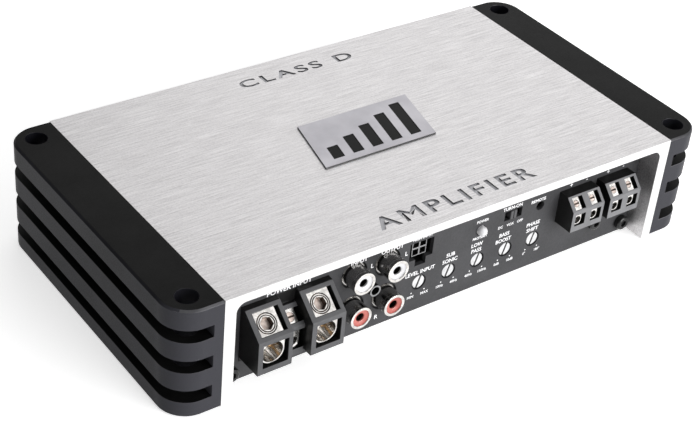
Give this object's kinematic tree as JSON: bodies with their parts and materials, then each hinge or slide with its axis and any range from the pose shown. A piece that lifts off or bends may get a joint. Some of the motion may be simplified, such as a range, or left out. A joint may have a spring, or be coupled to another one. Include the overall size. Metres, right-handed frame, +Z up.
{
  "type": "car amplifier",
  "caption": "Flat car audio amplifier with a brushed aluminium top shell, black finned end blocks and a recessed panel of terminals, phono jacks and trimmers.",
  "frame": {"origin": "middle of the flat underside, midway between the four mounting holes", "axes": "+X along the case towards the speaker terminals, +Z up from the mounting plane, connector panel facing -Y"},
  "size_m": [0.22, 0.1158, 0.0424],
  "materials": {
    "badge_black": "gloss",
    "badge_metal": "fine satin",
    "black_anodised": "black anodised, satin",
    "black_plastic": "moulded",
    "black_screw": "black oxide",
    "brushed_aluminium": "brushed, clear anodised",
    "capacitor_sleeve": "shrink sleeve",
    "circuit_board": "solder mask",
    "clamp_steel": "zinc plated",
    "copper": "enamelled copper",
    "ferrite": "sintered",
    "grey_plastic": "moulded",
    "insulator": "silicone pad",
    "led_lens": "milky lens",
    "nickel": "nickel plated",
    "painted_steel": "fine powder coat",
    "red_plastic": "moulded",
    "white_plastic": "moulded"
  },
  "bodies": {
    "case": {"badge_inlay": "badge_black", "board_header": "black_plastic", "board_screws": "black_screw", "board_standoffs": "nickel", "bottom_plate": "painted_steel", "bottom_plate_screws": "black_screw", "clamp_screws": "black_screw", "control_board": "circuit_board", "control_chips": "black_plastic", "fin_block_left": "black_anodised", "fin_block_right": "black_anodised", "fin_block_screws": "black_screw", "front_panel": "painted_steel", "front_panel_screws": "black_screw", "heatsink_shell": "brushed_aluminium", "inductor_core": "ferrite", "inductor_winding": "copper", "input_socket": "black_plastic", "insulating_pads": "insulator", "jack_body": "black_plastic", "jack_contact": "nickel", "main_board": "circuit_board", "power_clamp_left": "nickel", "power_clamp_right": "nickel", "power_terminal_housing": "black_plastic", "power_transistors": "black_plastic", "rail_capacitors": "capacitor_sleeve", "rca_block": "black_plastic", "rca_contacts": "nickel", "rca_inserts_red": "red_plastic", "rca_inserts_white": "white_plastic", "rca_shells": "nickel", "rear_panel": "painted_steel", "rear_panel_screws": "black_screw", "remote_clamp": "nickel", "socket_pins": "nickel", "speaker_clamps": "nickel", "speaker_housing_left": "grey_plastic", "speaker_housing_right": "grey_plastic", "status_led": "led_lens", "supply_capacitors": "capacitor_sleeve", "switch_body": "black_plastic", "top_badge": "badge_metal", "transformer_core": "ferrite", "transformer_winding": "copper", "transistor_clamps": "clamp_steel", "trimmer_bodies": "black_plastic"},
    "level_trimmer": {"level_trimmer": "white_plastic"},
    "subsonic_trimmer": {"subsonic_trimmer": "white_plastic"},
    "low_pass_trimmer": {"low_pass_trimmer": "white_plastic"},
    "bass_trimmer": {"bass_trimmer": "white_plastic"},
    "phase_trimmer": {"phase_trimmer": "white_plastic"},
    "switch_lever": {"switch_lever": "grey_plastic"},
    "power_screw_left": {"power_screw_left": "nickel"},
    "power_screw_right": {"power_screw_right": "nickel"},
    "remote_screw": {"remote_screw": "nickel"},
    "speaker_screw_1": {"speaker_screw_1": "nickel"},
    "speaker_screw_2": {"speaker_screw_2": "nickel"},
    "speaker_screw_3": {"speaker_screw_3": "nickel"},
    "speaker_screw_4": {"speaker_screw_4": "nickel"}
  },
  "joints": [
    {"name": "level_turn", "type": "hinge", "parent": "case", "child": "level_trimmer", "pos_m": [-0.0102, -0.04795, 0.0117], "axis": [0, -1, 0], "range_deg": [-122.4, 157.6]},
    {"name": "subsonic_turn", "type": "hinge", "parent": "case", "child": "subsonic_trimmer", "pos_m": [0.0025, -0.04795, 0.0117], "axis": [0, -1, 0], "range_deg": [-122.4, 157.6]},
    {"name": "low_pass_turn", "type": "hinge", "parent": "case", "child": "low_pass_trimmer", "pos_m": [0.0152, -0.04795, 0.0117], "axis": [0, -1, 0], "range_deg": [-122.4, 157.6]},
    {"name": "bass_turn", "type": "hinge", "parent": "case", "child": "bass_trimmer", "pos_m": [0.0279, -0.04795, 0.0117], "axis": [0, -1, 0], "range_deg": [-122.4, 157.6]},
    {"name": "phase_turn", "type": "hinge", "parent": "case", "child": "phase_trimmer", "pos_m": [0.0406, -0.04795, 0.0117], "axis": [0, -1, 0], "range_deg": [-122.4, 157.6]},
    {"name": "switch_slide", "type": "slide", "parent": "case", "child": "switch_lever", "axis": [1, 0, 0], "range_m": [-0.0024, 0.0024]},
    {"name": "power_screw_left_travel", "type": "slide", "parent": "case", "child": "power_screw_left", "axis": [0, 0.6334, -0.7738], "range_m": [0, 0.0075]},
    {"name": "power_screw_right_travel", "type": "slide", "parent": "case", "child": "power_screw_right", "axis": [0, 0.6334, -0.7738], "range_m": [0, 0.0075]},
    {"name": "remote_screw_travel", "type": "slide", "parent": "case", "child": "remote_screw", "axis": [0, 0.6947, -0.7193], "range_m": [0, 0.0035]},
    {"name": "speaker_screw_1_travel", "type": "slide", "parent": "case", "child": "speaker_screw_1", "axis": [0, 0.7266, -0.6871], "range_m": [0, 0.003]},
    {"name": "speaker_screw_2_travel", "type": "slide", "parent": "case", "child": "speaker_screw_2", "axis": [0, 0.7266, -0.6871], "range_m": [0, 0.003]},
    {"name": "speaker_screw_3_travel", "type": "slide", "parent": "case", "child": "speaker_screw_3", "axis": [0, 0.7266, -0.6871], "range_m": [0, 0.003]},
    {"name": "speaker_screw_4_travel", "type": "slide", "parent": "case", "child": "speaker_screw_4", "axis": [0, 0.7266, -0.6871], "range_m": [0, 0.003]}
  ]
}
